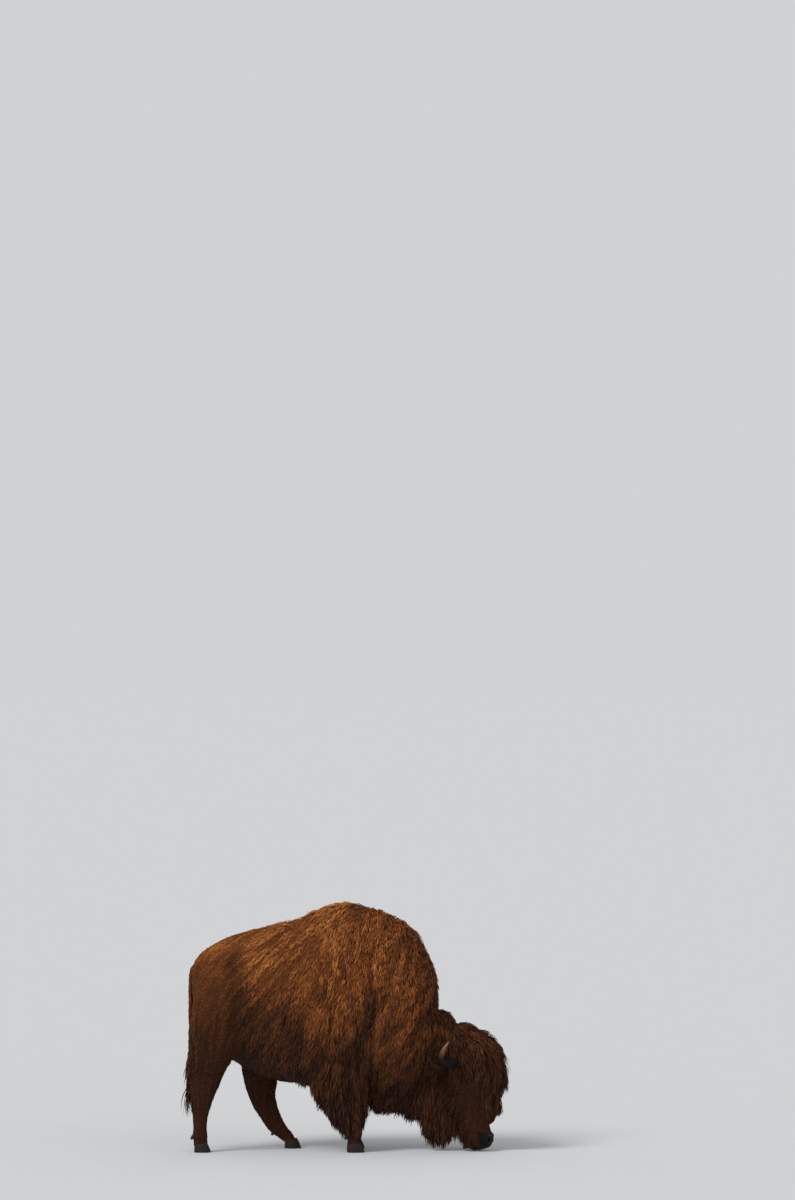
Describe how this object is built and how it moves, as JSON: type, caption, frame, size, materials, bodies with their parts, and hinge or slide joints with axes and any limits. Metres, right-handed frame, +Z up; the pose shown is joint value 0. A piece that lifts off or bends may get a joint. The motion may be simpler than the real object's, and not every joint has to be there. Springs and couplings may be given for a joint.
{
  "type": "american bison bull",
  "caption": "Life-size American bison bull, standing and grazing with its head down in a full winter coat; tall hump, low horned head, beard and shaggy forelegs.",
  "frame": {"origin": "under the middle of the whole box, on the floor plane that the hooves stand on", "axes": "+X is forward, the way the body faces; +Y is the animal's left; +Z is up"},
  "size_m": [2.2894, 0.7194, 1.7855],
  "materials": {
    "cape_hair": "golden-brown woolly winter coat, matt",
    "dark_hair": "near-black long woolly hair, matt",
    "leg_hair": "short dark brown hair, matt",
    "horn": "dark horn, worn smooth towards the tip",
    "hoof": "dark horn of the hooves, dull",
    "eye": "dark wet eye"
  },
  "bodies": {
    "root": {"beard": "dark_hair", "ear_left": "dark_hair", "ear_right": "dark_hair", "eye_left": "eye", "eye_right": "eye", "foreleg_left": "leg_hair", "foreleg_right": "leg_hair", "head": "dark_hair", "hindleg_left": "leg_hair", "hindleg_right": "leg_hair", "hoof_foreleg_left_inner": "hoof", "hoof_foreleg_left_outer": "hoof", "hoof_foreleg_right_inner": "hoof", "hoof_foreleg_right_outer": "hoof", "hoof_hindleg_left_inner": "hoof", "hoof_hindleg_left_outer": "hoof", "hoof_hindleg_right_inner": "hoof", "hoof_hindleg_right_outer": "hoof", "horn_left": "horn", "horn_right": "horn", "neck": "cape_hair", "tail": "dark_hair", "tail_tuft": "dark_hair", "trunk": "cape_hair"}
  },
  "joints": []
}
